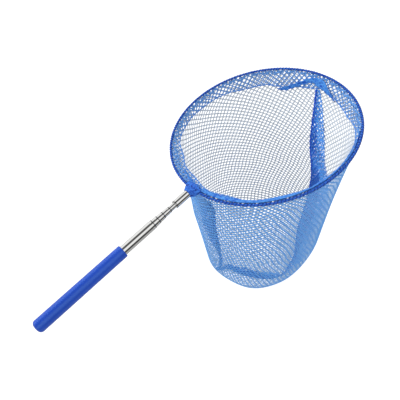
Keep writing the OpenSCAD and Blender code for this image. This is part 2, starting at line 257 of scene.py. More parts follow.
# %% Floor and lamps
FLOOR_Z = -0.262
FLOOR_MATT = 0.34
FLOOR_PALE = 0.80
CARD_GREY = 0.46
CARD_DARK = 0.05
# The dark card starts and is full at these distances from the floor's middle, towards -Y
CARD_NEAR = 0.55
CARD_FAR = 0.85


def floor_material():
    """A pale floor: white to the camera save for the net's shadow, and a card to gloss."""
    made = bpy.data.materials.new("pale_floor")
    made.use_nodes = True
    tree = made.node_tree
    wire = Wire(tree)
    matt = wire.node("ShaderNodeBsdfDiffuse", inputs={"Color": grey(FLOOR_MATT)})
    glow = wire.node("ShaderNodeEmission", inputs={"Color": grey(FLOOR_PALE)})
    lit = wire.node("ShaderNodeAddShader", inputs={0: matt, 1: glow})
    pale = wire.node("ShaderNodeBsdfDiffuse", inputs={"Color": grey(FLOOR_PALE)})
    where = wire.node("ShaderNodeTexCoord", out="Object")
    apart = wire.node("ShaderNodeSeparateXYZ", inputs={0: where}, out="Y")
    card = (apart * -1).step(CARD_NEAR, CARD_FAR).blend(grey(CARD_GREY), grey(CARD_DARK))
    shine = wire.node("ShaderNodeEmission", inputs={"Color": card})
    to_gloss = wire.node("ShaderNodeLightPath", out="Is Glossy Ray")
    mirrored = wire.node("ShaderNodeMixShader", inputs={0: to_gloss, 1: pale, 2: shine})
    to_camera = wire.node("ShaderNodeLightPath", out="Is Camera Ray")
    both = wire.node("ShaderNodeMixShader", inputs={0: to_camera, 1: mirrored, 2: lit})
    tree.links.new(both.socket, tree.nodes["Material Output"].inputs["Surface"])
    return made


def add_lamp(name, place, aim, size, power):
    """A soft rectangular lamp that faces its aim and that gloss doesn't see."""
    lamp = bpy.data.lights.new(name, "AREA")
    lamp.shape = "RECTANGLE"
    lamp.size, lamp.size_y = size
    lamp.energy = power
    thing = bpy.data.objects.new(name, lamp)
    thing.location = place
    thing.rotation_euler = (Vector(aim) - Vector(place)).to_track_quat("-Z", "Y").to_euler()
    thing.visible_glossy = False
    bpy.context.scene.collection.objects.link(thing)


bpy.ops.mesh.primitive_plane_add(size=8, location=(0.1, 0, FLOOR_Z))
floor = bpy.context.object
floor.name = "floor"
floor.data.materials.append(floor_material())
add_lamp("key", (0.0, 0.95, 0.95), (0.1, 0, -0.05), (1.4, 0.5), 14.0)
add_lamp("fill", (-0.3, -1.0, 0.9), (0.15, 0, -0.1), (1.2, 1.2), 4.0)
print("lamps:", [lamp.name for lamp in bpy.data.lights], "floor at", FLOOR_Z)

# %% [markdown]
# ## Finishes
#
# Each finish is written at the scale that it has on the real thing: drawn steel with long fine
# lines and a dark ring of painted shade at each mouth, where the rolled crimp shades it, foam
# with closed cells a third of a millimetre wide and a bluish gloss, and nylon with its plies. The
# netting's inner face is paler than its blue outer face, and that paleness is painted light: the
# far wall seen through the mouth looks lit from behind. So its colour follows an attribute of the
# strands, facing, and another, knot, deepens it where two strands meet.

# %% Metals
# The ring of painted shade in the crimp starts, is full and starts to end at these distances
# before the mouth
SHADE_RING_START = 1.3 * MM
SHADE_RING_FULL = 0.8 * MM
SHADE_RING_FADE = 0.3 * MM
SHADE_RING_DEPTH = 0.85


def drawn_steel(name, rough, scratch, mouth=None):
    """Bright steel with faint lines, rubbed patches and, where it has a mouth, a ring of painted shade
    there.
    """
    def build(wire):
        lines = noise(wire, place_in(wire, (18.0, 2600.0, 2600.0)), 1.0)
        rubbed = noise(wire, place_in(wire), 60.0)
        tint = rubbed.blend(srgb(226, 226, 225), srgb(240, 240, 238))
        if mouth is not None:
            along = wire.node("ShaderNodeSeparateXYZ", inputs={0: place_in(wire)})
            # Painted shade: the dark ring stands in for the shadow in the rolled crimp at the mouth
            ring = along.step(mouth - SHADE_RING_START, mouth - SHADE_RING_FULL) - along.step(mouth - SHADE_RING_FADE, mouth)
            tint = (ring * SHADE_RING_DEPTH).blend(tint, srgb(84, 82, 80))
        return {
            "Base Color": tint,
            "Roughness": rough + rubbed * 0.03 + lines * 0.03,
            "Normal": bump(lines, scratch),
        }
    return material(name, {"Metallic": 1.0}, build)


def turned_metal(name, dark, light, rough):
    """Brass or bronze with turning marks and a little tarnish."""
    def build(wire):
        marks = noise(wire, place_in(wire, (3500.0, 40.0, 40.0)), 1.0)
        tarnish = noise(wire, place_in(wire), 240.0, 3.0).step(0.35, 0.7)
        return {
            "Base Color": tarnish.blend(srgb(*light), srgb(*dark)),
            "Roughness": rough + tarnish * 0.15,
            "Normal": bump(marks, 8e-6),
        }
    return material(name, {"Metallic": 1.0}, build)


WIRE_STEEL = drawn_steel("wire_steel", 0.22, 4e-6)
BRASS = turned_metal("turned_brass", (150, 112, 52), (214, 176, 96), 0.24)
BRONZE = turned_metal("spring_bronze", (128, 84, 48), (196, 140, 88), 0.28)
print("metals:", [metal.name for metal in (WIRE_STEEL, BRASS, BRONZE)])


# %% Foam
def foam(wire):
    """Blue closed-cell sleeve: a fine skin of cells, slightly shiny where it is handled."""
    where = place_in(wire)
    worn = noise(wire, place_in(wire, (1.0, 2.2, 2.2)), 38.0, 3.0)
    relief = cells(wire, where, 3200.0) * 0.6 + noise(wire, where, 900.0)
    return {
        "Base Color": worn.blend(srgb(14, 54, 166), srgb(24, 68, 188)),
        "Roughness": 0.30 + worn * 0.10,
        "Normal": bump(relief, 3.5e-5),
    }


GLOSS = {"Specular IOR Level": 1.0, "Specular Tint": (0.45, 0.85, 1.0, 1.0)}
FOAM = material("foam_blue", GLOSS, foam)
print("sleeve:", FOAM.name)


# %% Nylon
def nylon(name, outside, inside, deep, deep_in, knot_share=0.5):
    """Knitted nylon: a colour for its outer face, one for its inner, and deeper ones for knots."""
    def build(wire):
        facing = wire.node("ShaderNodeAttribute", {"attribute_name": "facing"}, out="Fac")
        knot = wire.node("ShaderNodeAttribute", {"attribute_name": "knot"}, out="Fac")
        where = place_in(wire)
        uneven = noise(wire, where, 55.0, 3.0)
        plies = noise(wire, where, 2600.0, 1.0)
        # On the netting the inner colour's paleness is painted light: the far wall seen through the mouth
        # looks lit from behind
        turned = facing.step(-0.3, 0.3)
        face = turned.blend(srgb(*inside), srgb(*outside))
        deeper = turned.blend(srgb(*deep_in), srgb(*deep))
        tint = (knot * knot_share * (0.6 + uneven * 0.8)).blend(face, deeper)
        return {
            "Base Color": tint,
            "Roughness": 0.50 + plies * 0.2,
            "Normal": bump(plies, 6e-5),
        }
    return material(name, {"Specular IOR Level": 0.2}, build)


NAVY = (10, 26, 100)


def dense_nylon(name, dark, light, grain, stitches=0.0, thread=NAVY):
    """Layers of netting packed so tight that only ribs are left to see, with stitches through."""
    def build(wire):
        where = place_in(wire)
        ribs = cells(wire, where, grain)
        uneven = noise(wire, where, 70.0, 3.0)
        tint = (ribs.step(0.15, 0.75) * 0.6 + uneven * 0.4).blend(srgb(*dark), srgb(*light))
        if stitches:
            dots = 1 - cells(wire, where, stitches).step(0.18, 0.34)
            tint = (dots * 0.9).blend(tint, srgb(*thread))
        return {
            "Base Color": tint,
            "Roughness": 0.55 + uneven * 0.15,
            "Normal": bump(ribs, 2.5e-4, 0.7),
        }
    return material(name, {"Specular IOR Level": 0.2}, build)


# %% Every nylon of the net
# The netting's pale inner colours are painted light, for the far wall lit from behind; the outer ones are
# its own blue
NETTING = nylon("net_nylon", (104, 170, 234), (204, 211, 217), (54, 120, 210), (176, 187, 198))
SEAM_NYLON = nylon("seam_nylon", (100, 174, 246), (54, 112, 212), (60, 124, 226), (26, 70, 186), 0.6)
COLLAR_NYLON = nylon("collar_nylon", (112, 166, 228), (104, 156, 218), (70, 122, 204), (78, 126, 198))
HEM_NYLON = dense_nylon("hem_nylon", (14, 46, 144), (52, 108, 204), 620.0)
BAND_NYLON = dense_nylon("band_nylon", (26, 84, 184), (86, 154, 228), 420.0, 150.0, (30, 86, 190))
COLLAR_CORD = dense_nylon("collar_cord_nylon", (52, 106, 196), (104, 158, 224), 560.0)
SEAM_EDGE = dense_nylon("seam_edge_nylon", (24, 68, 194), (50, 112, 232), 700.0)
BUNCH_NYLON = dense_nylon("bunch_nylon", (24, 62, 172), (62, 124, 214), 520.0, 300.0)
THREAD = dense_nylon("navy_thread", (6, 20, 80), (16, 38, 120), 1500.0)
print("materials:", len(bpy.data.materials))

# %% Finishes on the frame's own parts
LIP = 1.6 * MM
# Where each polished part has its ring of painted shade: the tubes at their far mouth, the ferrule at its
# lip
MOUTHS = {name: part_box(name)[1].x for name in ("outer_tube", "tube_2", "tube_3", "tube_4", "tube_5")}
MOUTHS["ferrule"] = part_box("ferrule")[0].x + LIP
FINISHES = {
    "grip": FOAM, "hoop_wire": WIRE_STEEL, "tube_plug": BRASS, "tip_bush": BRASS, "wire_plug": BRASS,
}
for name, mouth in MOUTHS.items():
    FINISHES[name] = drawn_steel(f"{name}_steel", 0.045, 1.0e-6, mouth)
for stage in (2, 3, 4, 5):
    FINISHES[f"foot_{stage}"] = BRASS
    FINISHES[f"clips_{stage}"] = BRONZE
for node, finish in FINISHES.items():
    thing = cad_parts[node]
    thing.data.materials.clear()
    thing.data.materials.append(finish)
    for face in thing.data.polygons:
        face.material_index = 0
print("parts finished:", len(FINISHES))

# %% [markdown]
# ## The bag's shape
#
# Everything soft hangs from the hoop, so its place is worked out from the wire's own box. The
# bag is one formula: at each share of its depth it is an ellipse that narrows, leans back
# towards the handle, and rounds off and swings to one side at the bottom. Soft folds ripple it,
# and below the neck the gathered cloth draws it in. Panels, seam and collar all ask the same
# formula for their places, so they stay together whatever changes.

# %% Sizes from the frame
wire_low, wire_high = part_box("hoop_wire")
net_low, net_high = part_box("front_net")
WIRE_R = wire_high.z
HOOP_R = (wire_high.y - wire_low.y) / 2 - WIRE_R
HOOP_X = wire_high.x - HOOP_R - WIRE_R
FERRULE_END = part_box("ferrule")[1].x
CASING_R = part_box("rim_casing")[1].z
BAG_DEPTH = -net_low.z
NET_TOP = -net_high.z
NET_WALL = 1.0 * MM
BAG_R = HOOP_R + NET_WALL / 2
BAG_LEAN = 46 * MM
BAG_TAPER = 0.25
BAG_FLATTEN = 0.11
TAPER_BOW = 0.7
ROUND_FROM = 0.75
ROUND_POWER = 1.65
BAG_SWAY = 40 * MM
FOLD_DEEP = 1.6 * MM
# How far the cloth is drawn in below the neck, how far off -X that is, and how narrow the tuck is
NECK_TUCK = 5.0 * MM
TUCK_TURN = 0.4
TUCK_NARROW = 0.07
# Shares of the depth: where the tuck is full, where it has ended, and how far it takes to end
TUCK_FULL = 0.05
TUCK_END = 0.4
TUCK_FADE = 0.16
print("hoop radius", round(HOOP_R / MM, 2), "mm, bag depth", round(BAG_DEPTH / MM, 2), "mm")


# %% The bag's surface
def fold(share, angle):
    """How far the cloth hangs in or out of the plain form: soft folds that fade at the hoop."""
    hang = np.sin(np.clip(share, 0, 1) * pi) ** 0.8
    waves = np.sin(5 * angle + 1.1) + 0.7 * np.sin(8 * angle + 3.5 * share + 0.4)
    at_neck = np.exp(-(1 + np.cos(angle + TUCK_TURN)) / TUCK_NARROW)
    at_neck = at_neck * np.clip(share / TUCK_FULL, 0, 1)
    at_neck = at_neck * np.clip((TUCK_END - share) / TUCK_FADE, 0, 1)
    return FOLD_DEEP * hang * waves / 1.7 - NECK_TUCK * at_neck


def turn_in(share):
    """0 on the walls, and rising to 1 at the bag's lowest point."""
    return np.clip((share - ROUND_FROM) / (1 - ROUND_FROM), 0, 1)


def bag_bottom(share):
    """1 on the walls, and falling to 0 at the bag's lowest point."""
    return (1 - turn_in(share) ** ROUND_POWER) ** (1 / ROUND_POWER)


def bag_reach(share, inset=0.0):
    """Half the bag's size along the handle and across it, before the bottom rounds it off."""
    side = 1 - BAG_TAPER * share ** TAPER_BOW
    return BAG_R * side - inset, BAG_R * (side - BAG_FLATTEN * share) - inset


def bag_place(share, angle, inset=0.0):
    """Points of the bag at a share of its depth and an angle round it, moved inwards by inset."""
    share = np.clip(share, 0, 1)
    bottom = bag_bottom(share)
    inset = inset + NET_WALL / 2 - fold(share, angle)
    along, across = bag_reach(share, inset)
    drop = BAG_DEPTH - NET_TOP - inset * turn_in(share)
    return np.stack([
        HOOP_X - BAG_LEAN * share + along * bottom * np.cos(angle),
        across * bottom * np.sin(angle) - BAG_SWAY * (1 - bottom),
        -NET_TOP - drop * share,
    ], axis=-1)


def unit(vectors):
    """Each vector at length 1."""
    return vectors / np.maximum(np.linalg.norm(vectors, axis=-1, keepdims=True), 1e-12)


def bag_normal(share, angle):
    """The bag's outward direction."""
    share = np.clip(share, 0.0005, 0.9985)
    nudge = 4e-4
    down = bag_place(share + nudge, angle) - bag_place(share - nudge, angle)
    around = bag_place(share, angle + nudge) - bag_place(share, angle - nudge)
    return unit(np.cross(down, around))


print("bag's lowest point", (bag_place(1.0, 0.0) / MM).round(1), "mm")


# %% Measures on the form
def area_under(heights, places):
    """The area under a line through the heights at these places."""
    return float(((heights[1:] + heights[:-1]) / 2 * np.diff(places)).sum())


def distance_along(points):
    """How far each point lies along the line through all of them."""
    return np.concatenate([[0], np.cumsum(np.linalg.norm(np.diff(points, axis=0), axis=1))])


# Where the seam runs, in degrees round from the far side, and from the near side towards -Y
FAR_SEAM = ((0.0, 0), (0.25, 0), (0.41, -4), (0.55, -13), (0.8, -15), (0.91, -17), (1.0, -34))
NEAR_SEAM = ((0.0, 4), (0.1, 12), (0.24, 8), (0.5, 6), (0.68, -4), (0.85, -22), (0.95, -10), (1.0, 0))


def seam_angle(share, line):
    """The angle of the far seam at a share of the depth, or of the near one less half a turn."""
    places, turns = zip(*line)
    return np.radians(np.interp(share, places, turns))


def between_seams(share, side, part):
    """The angle at a part of the way round one panel, from the far seam to the near one."""
    far, near = seam_angle(share, FAR_SEAM), side * pi + seam_angle(share, NEAR_SEAM)
    return far + (near - far) * part


print("far seam half way down:", np.degrees(seam_angle(0.5, FAR_SEAM)).round(1), "degrees")


# %% [markdown]
# ## Knitted strands
#
# A texture of holes is flat and looks it from the side, and the holes would be missing from the
# mesh. So every strand is modelled. A warp-knitted net is a row of zigzags: each strand leans
# over to meet its left neighbour, runs beside it for about a millimetre, then leans over to meet
# its right one. The zigzags are drawn on the flat cloth and then hung on the form, which keeps
# the pattern true and cuts it at the seams, as scissors would.

# %% The zigzag on flat cloth
MESH_WIDE = 3.35 * MM
MESH_LONG = 2.95 * MM
KNOT_HALF = 0.45 * MM
KNOT_PINCH = 0.34 * MM
STRAND_WIDE = 0.82 * MM
STRAND_THICK = 0.30 * MM
STRAND_SIDES = 6
CUT_STEPS = 7
print(f"meshes of {MESH_WIDE / MM:.2f} by {MESH_LONG / MM:.2f} mm")


def zigzags(box, turn):
    """All zigzags over a box of flat cloth, turned: one row of points for each strand."""
    low_u, high_u, low_v, high_v = box
    middle = np.array([(low_u + high_u) / 2, (low_v + high_v) / 2])
    wide, long = high_u - low_u, high_v - low_v
    half_u = wide / 2 * cos(turn) + long / 2 * abs(sin(turn))
    half_v = long / 2 * cos(turn) + wide / 2 * abs(sin(turn))
    across = ceil(half_u / MESH_WIDE) + 1
    down = ceil(half_v / MESH_LONG) + 1
    strand = np.arange(-across, across)[:, None]
    row = np.arange(-down, down + 1)[None, :]
    left = (strand + row) % 2 == 0
    x = strand * MESH_WIDE + np.where(left, KNOT_PINCH, MESH_WIDE - KNOT_PINCH)
    y = np.broadcast_to(row * MESH_LONG, x.shape)
    half_way = (strand + 0.5) * MESH_WIDE
    xs = np.stack([x, x, np.broadcast_to(half_way, x.shape)], axis=-1)
    ys = np.stack([y - KNOT_HALF, y + KNOT_HALF, y + MESH_LONG / 2], axis=-1)
    knots = np.broadcast_to(np.array([1.0, 1.0, 0.0]), xs.shape)
    flat = np.stack([xs, ys], axis=-1).reshape(x.shape[0], -1, 2)
    spin = np.array([[cos(turn), sin(turn)], [-sin(turn), cos(turn)]])
    return flat @ spin + middle, knots.reshape(x.shape[0], -1)


def cut_runs(paths, knots, inside):
    """The stretches of each zigzag that lie on the cloth, ended exactly at its edge."""
    runs = []
    for path, knot in zip(paths, knots):
        on = inside(path[:, 0], path[:, 1])
        edges = np.flatnonzero(np.diff(np.concatenate([[0], on.astype(int), [0]])))
        for start, stop in zip(edges[::2], edges[1::2]):
            points, marks = path[start:stop], knot[start:stop]
            if start > 0:
                points = np.vstack([edge_between(path[start], path[start - 1], inside), points])
                marks = np.concatenate([[0.5], marks])
            if stop < len(path):
                points = np.vstack([points, edge_between(path[stop - 1], path[stop], inside)])
                marks = np.concatenate([marks, [0.5]])
            if len(points) > 2:
                runs.append((points, marks))
    return runs


def edge_between(within, beyond, inside):
    """The point where a step from within to beyond crosses the cloth's edge."""
    near, far = 0.0, 1.0
    for _ in range(CUT_STEPS):
        half = (near + far) / 2
        point = within + (beyond - within) * half
        if inside(point[:1], point[1:])[0]:
            near = half
        else:
            far = half
    return within + (beyond - within) * near


# %% Rings and the faces between them
def around_ring(sides):
    """The angles of a ring's points."""
    return np.arange(sides) * 2 * pi / sides


def ring_faces(count, sides, closed=False, inside_out=False):
    """Four-cornered faces that join rings of points, one ring to the next."""
    steps = np.arange(count if closed else count - 1)
    step, number = (grid.ravel() for grid in np.meshgrid(steps, np.arange(sides), indexing="ij"))
    ahead, after = (step + 1) % count, (number + 1) % sides
    corners = [step * sides + number, ahead * sides + number, ahead * sides + after, step * sides + after]
    return np.stack(corners[:1] + corners[:0:-1] if inside_out else corners, axis=1)


print("faces of a strand of 10 points:", len(ring_faces(10, STRAND_SIDES)))


# %% Strands as tubes on the form
def strand_mesh(runs, hang, box, wide=STRAND_WIDE):
    """Flat oval tubes along the runs, hung on the form that hang gives."""
    around = around_ring(STRAND_SIDES)
    across = (wide * np.cos(around))[None, :, None]
    through = (STRAND_THICK * np.sin(around))[None, :, None]
    points, faces, corners, facing, marks = [], [], [], [], []
    first = 0
    low_u, high_u, low_v, high_v = box
    for flat, knot in runs:
        place, out = hang(flat[:, 0], flat[:, 1])
        along = unit(np.gradient(place, axis=0))
        side = unit(np.cross(out, along))
        out = unit(np.cross(along, side))
        ring = place[:, None] + side[:, None] * across + out[:, None] * through
        count = len(flat)
        points.append(ring.reshape(-1, 3))
        facing.append(np.tile(np.sin(around), count))
        marks.append(np.repeat(knot, STRAND_SIDES))
        quad = ring_faces(count, STRAND_SIDES)
        faces.append(quad + first)
        first += count * STRAND_SIDES
        run = unit(np.gradient(flat, axis=0))
        sideways = np.stack([-run[:, 1], run[:, 0]], axis=1)
        spread = flat[:, None] + sideways[:, None] * across
        u = (spread[..., 0] - low_u) / (high_u - low_u)
        v = (spread[..., 1] - low_v) / (high_v - low_v)
        rows, columns = quad // STRAND_SIDES, quad % STRAND_SIDES
        page = np.where(columns[:, 0] < STRAND_SIDES / 2, 0.0, 0.5)
        corners.append(np.stack([u[rows, columns] * 0.5 + page[:, None], v[rows, columns]], axis=-1))
    return {
        "points": np.concatenate(points), "faces": np.concatenate(faces),
        "corners": np.concatenate(corners).reshape(-1, 2),
        "facing": np.concatenate(facing), "knot": np.concatenate(marks),
    }


# %% Several meshes as one
def merged(parts):
    """Several meshes as one; where they have corners, each gets its own row of the page."""
    whole = {key: [] for key in parts[0]}
    first = 0
    for row, part in enumerate(parts):
        for key, values in part.items():
            if key == "faces":
                values = values + first
            if key == "corners":
                values = np.stack([values[:, 0], (values[:, 1] + row) / len(parts)], axis=-1)
            whole[key].append(values)
        first += len(part["points"])
    return {key: np.concatenate(values) for key, values in whole.items()}


# %% A piece from points and faces
def add_mesh(name, data, finish):
    """A smooth piece from points and four-cornered faces, riding with the net's head."""
    mesh = bpy.data.meshes.new(name)
    points, faces = data["points"], data["faces"]
    mesh.vertices.add(len(points))
    mesh.vertices.foreach_set("co", points.astype(np.float32).ravel())
    mesh.loops.add(faces.size)
    mesh.loops.foreach_set("vertex_index", faces.astype(np.int32).ravel())
    mesh.polygons.add(len(faces))
    mesh.polygons.foreach_set("loop_start", np.arange(0, faces.size, 4, dtype=np.int32))
    mesh.polygons.foreach_set("use_smooth", np.full(len(faces), True))
    if "corners" in data:
        mesh.uv_layers.new(name="OFBake").data.foreach_set(
            "uv", np.clip(data["corners"], 0, 1).astype(np.float32).ravel()
        )
    for key in ("facing", "knot"):
        if key in data:
            mesh.attributes.new(key, "FLOAT", "POINT").data.foreach_set(
                "value", data[key].astype(np.float32)
            )
    mesh.update(calc_edges=True)
    mesh.validate()
    mesh.materials.append(finish)
    thing = bpy.data.objects.new(name, mesh)
    bpy.context.scene.collection.objects.link(thing)
    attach(thing, NET_BODY)
    print(f"{name}: {len(faces)} faces")
    return thing


# %% [markdown]
# ## The two panels
#
# The bag is sewn from two panels that meet in one long U: down the far side, under the bottom
# and up the near side. Laid flat, a panel is as wide as half the hoop at its top and rounds to
# nothing at its bottom. The flat width at each height is measured on the form, so the zigzags
# cross the seam at the angle at which the cloth was cut.

# %% Panels
TABLE_STEPS = 400
GIRTH_POINTS = 73
# The parts of those steps that go to the walls and to the rounded bottom
WALL_STEPS = 0.7
ROUND_STEPS = 0.3
KNIT_TURN = radians(12.5)


def panel_table(side):
    """For each share of the depth: its distance down the cloth, and the panel's width there."""
    t = np.linspace(0, 1, TABLE_STEPS)
    on_wall = t / WALL_STEPS * ROUND_FROM
    on_round = ROUND_FROM + (1 - ROUND_FROM) * np.sin((t - WALL_STEPS) / ROUND_STEPS * pi / 2)
    share = np.clip(np.where(t < WALL_STEPS, on_wall, on_round), 0, 1)
    down = distance_along(bag_place(share, np.full(TABLE_STEPS, side * pi / 2)))
    turns = np.linspace(0, 1, GIRTH_POINTS)
    rim = bag_place(share[:, None] * np.ones_like(turns), between_seams(share[:, None], side, turns))
    width = np.linalg.norm(np.diff(rim, axis=1), axis=2).sum(axis=1)
    return share, down, width


def add_panel(name, side):
    """One panel of netting; side is -1 for the panel on -Y and 1 for the other."""
    share, down, width = panel_table(side)

    def inside(u, v):
        return (v >= 0) & (v <= down[-1]) & (np.abs(u) <= np.interp(v, down, width) / 2)

    def hang(u, v):
        s = np.interp(v, down, share)
        part = np.clip(u / np.maximum(np.interp(v, down, width), 1e-6) + 0.5, 0, 1)
        angle = between_seams(s, side, part)
        return bag_place(s, angle), bag_normal(s, angle)

    box = (-width.max() / 2, width.max() / 2, 0.0, down[-1])
    runs = cut_runs(*zigzags(box, side * KNIT_TURN), inside)
    panel = add_mesh(name, strand_mesh(runs, hang, box), NETTING)
    area = area_under(width, down)
    print(f"{name}: flat {width.max() / MM:.0f} x {down[-1] / MM:.0f} mm, {area * 1e6:.0f} mm2")
    return panel


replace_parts(add_panel("front_netting", -1), "front_net")
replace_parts(add_panel("back_netting", 1), "back_net")

# %% [markdown]
# ## The collar
#
# The netting's top edge is folded over the wire and its end hangs free inside the mouth. On the
# far side it falls along the wall, and on the near side it springs inwards. It is knitted in the
# panels' pattern on a form of its own, and its edge is a short list of depths. The bag's wall
# leans in below the mouth, so wherever this form would pass the wall it is laid just inside it.

# %% Collar
FRONT_ANGLE = radians(-150)
COLLAR_GAP = 0.9 * MM
# Degrees below level where the collar hangs, and how much less where it springs inwards
COLLAR_STEEP = 82
COLLAR_SPRING = 62
COLLAR_RIPPLE = 0.8 * MM
COLLAR_SCALLOP = 0.7 * MM
COLLAR_ROOM = 26 * MM
MOUTH_STEPS = 720
# Depth of the folded edge in mm, by the angle in degrees, and of the roll nearest the wire
COLLAR_EDGE = (
    (11, 17), (25, 19.7), (39, 15), (50, 16.7), (57, 15.5), (66, 13.2), (76, 13), (87, 11.3), (103, 9.7),
    (117, 8.5), (132, 9), (144, 12.5), (160, 13), (174, 11), (195, 9), (222, 7.5), (250, 6), (270, 6),
    (292, 6), (308, 9), (323, 18), (338, 16), (348, 13.5), (357, 13),
)
COLLAR_ROLL = (
    (20, 3.5), (70, 3.5), (110, 4.5), (130, 5.5), (165, 8.5), (185, 7), (220, 5), (290, 4), (320, 6),
    (345, 4),
)
# For the fold and the roll: depths, turn of the knitting, half width of a strand, lift off the form
COLLAR_KNITS = ((COLLAR_EDGE, 6, 0.66 * MM, 0.0), (COLLAR_ROLL, -24, 1.0 * MM, 0.8 * MM))


def collar_depth(angle, pairs=COLLAR_EDGE):
    """How deep a folded edge hangs by its pairs, with the small scallops that it springs into."""
    places, depths = zip(*pairs)
    deep = np.interp(np.degrees(angle) % 360, places, depths, period=360) * MM
    return deep + COLLAR_SCALLOP * np.sin(13 * angle)


def within_bag(points):
    """The same points, moved inwards where they would come through the bag's wall."""
    share = np.clip((-points[..., 2] - NET_TOP) / (BAG_DEPTH - NET_TOP), 0, 1)
    x, y = points[..., 0] - HOOP_X + BAG_LEAN * share, points[..., 1]
    gap = COLLAR_GAP * np.clip(share / 0.03, 0, 1)
    along, across = bag_reach(share, gap + NET_WALL / 2 - fold(share, np.arctan2(y, x)))
    scale = 1 / np.maximum(np.hypot(x / along, y / across), 1)
    return np.stack([points[..., 0] + x * (scale - 1), y * scale, points[..., 2]], axis=-1)


def collar_place(angle, deep, lift=0.0):
    """Points of the collar: an angle round the mouth, a distance from the wire and a lift off it."""
    front = 0.5 + 0.5 * np.cos(angle - FRONT_ANGLE)
    slope = np.radians(COLLAR_STEEP - COLLAR_SPRING * front)
    ripple = COLLAR_RIPPLE * np.sin(11 * angle + 0.5) * np.clip(deep / (12 * MM), 0, 1)
    radius = HOOP_R - 0.4 * CASING_R - deep * np.cos(slope) - ripple - BAG_TAPER * 0.3 * deep
    height = -0.7 * CASING_R - deep * np.sin(slope)
    place = [HOOP_X + radius * np.cos(angle), radius * np.sin(angle), height]
    laid = within_bag(np.stack(place, axis=-1))
    off = np.stack([-np.sin(slope) * np.cos(angle), -np.sin(slope) * np.sin(angle), np.cos(slope)], axis=-1)
    return laid + off * np.broadcast_to(lift, np.shape(angle))[..., None]


def add_collar():
    """The folded edge and the roll next to the wire, knitted as the panels are."""
    length = 2 * pi * HOOP_R
    box = (0.0, length, 0.0, COLLAR_ROOM)
    turns = np.linspace(-pi, pi, MOUTH_STEPS + 1)
    parts, area, wide = [], 0.0, 0.0
    for pairs, turn, strand, lift in COLLAR_KNITS:
        def hang(u, v, lift=lift):
            angle = u / HOOP_R - pi
            nudge = 0.2 * MM
            down = collar_place(angle, v + nudge) - collar_place(angle, v - nudge)
            round_it = collar_place(angle + 0.002, v) - collar_place(angle - 0.002, v)
            return collar_place(angle, v, lift), unit(np.cross(down, round_it))

        def inside(u, v, pairs=pairs):
            return (v >= 0) & (u >= 0) & (u <= length) & (v <= collar_depth(u / HOOP_R - pi, pairs))

        runs = cut_runs(*zigzags(box, radians(turn)), inside)
        parts.append(strand_mesh(runs, hang, box, wide=strand))
        area += area_under(collar_depth(turns, pairs), turns) * HOOP_R
        wide += float(collar_depth(turns, pairs).max())
    collar = add_mesh("hem_collar", merged(parts), COLLAR_NYLON)
    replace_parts(collar, "hem_flap")


add_collar()

# %% [markdown]
# ## The seam
#
# Inside the bag both panels' edges lie over to one side of the seam, in several layers, so the
# seam reads as a dense strip along the wall. It is widest low on the far side, pinches to a line
# where it turns under the bag, and spreads again below the neck. Each layer is a net of its own,
# turned against the next. The stitched edge is one flat cord, overcast with a thread, and it
# stands further off the wall on the far side than on the near one.

# %% The seam's line
SEAM_STEPS = 330
SEAM_LIP = 1.5 * MM
# Along the U: share of the depth, degrees round from the far side, width of the strip (positive
# towards -Y), and half width of the stitched edge, the last two in mm
SEAM_ROUTE = (
    (0.06, 0, 6, 0.8), (0.15, -1, 13, 0.8), (0.28, -2, 26, 0.8), (0.35, -3, 30, 0.8), (0.41, -5, 34, 0.8),
    (0.46, -8, 50, 0.8), (0.55, -13, 62, 0.8), (0.70, -14, 68, 0.8), (0.80, -13, 64, 0.8),
    (0.89, -13, 54, 0.8), (0.924, -18, 42, 0.8), (0.946, -30, 30, 0.8), (0.96, -42, 22, 0.8),
    (0.984, -50, 11, 0.8), (0.995, -90, 2, 0.8), (0.993, -142, -14, 0.8), (0.979, -168, -18, 0.8),
    (0.953, -186, -17, 0.8), (0.921, -196, -13, 0.8), (0.887, -203, -9, 0.8), (0.85, -198, -6, 0.8),
    (0.80, -191, -4, 0.8), (0.70, -180, -4, 0.9), (0.65, -177, -4, 1.0), (0.60, -175, -4, 1.2),
    (0.53, -174.5, -5, 1.5), (0.468, -174, -9, 1.7), (0.405, -173.5, -18, 1.8), (0.37, -173.5, -27, 1.9),
    (0.33, -173.5, -31, 1.9), (0.225, -172, -33, 1.9), (0.123, -169, -33, 1.9), (0.06, -171, -33, 1.9),
)
# For each layer: how far in it lies, its turn, its share of the width, and its tone
SEAM_LAYERS = (
    (1.0, 12.5, 1.0, 1.0), (1.7, -20.0, 1.0, 1.0), (2.4, 40.0, 0.66, 1.0), (3.1, 5.0, 0.42, -1.0),
)
SEAM_ROOM = 76 * MM
SEAM_STRAND = 0.62 * MM
SEAM_RIPPLE = 0.6 * MM
# Where the strip is narrower than this it is drawn in towards the seam, before it changes sides
SEAM_PINCH = 2.5 * MM
# The tone of the strip below the neck, and how far from the bag's lowest point that starts
NEAR_TONE = -0.3
NEAR_FROM = 20 * MM
# The bag's least half width beside the strip. Below STRAIGHT_TO of its full width the strip runs
# straight across, and over STRAIGHT_FADE more it turns to follow the wall
SEAM_NARROW = 6 * MM
STRAIGHT_TO = 0.25
STRAIGHT_FADE = 0.3


def eased(values, reach):
    """Values with their corners rounded off, by the mean of their neighbours."""
    wide = 2 * reach + 1
    padded = np.pad(values, reach, "reflect", reflect_type="odd")
    return np.convolve(padded, np.ones(wide) / wide, "valid")


def seam_line():
    """The U in even steps: share of the depth, angle, strip width, edge half width, distance."""
    columns = [np.array(column, dtype=float) for column in zip(*SEAM_ROUTE)]
    reach = distance_along(bag_place(columns[0], np.radians(columns[1])))
    even = np.linspace(0, reach[-1], SEAM_STEPS)
    share, angle, width, half = (eased(np.interp(even, reach, column), 3) for column in columns)
    distance = distance_along(bag_place(share, np.radians(angle)))
    return np.clip(share, 0, 1), np.radians(angle), width * MM, half * MM, distance


print(f"seam: {seam_line()[-1][-1] / MM:.0f} mm long")


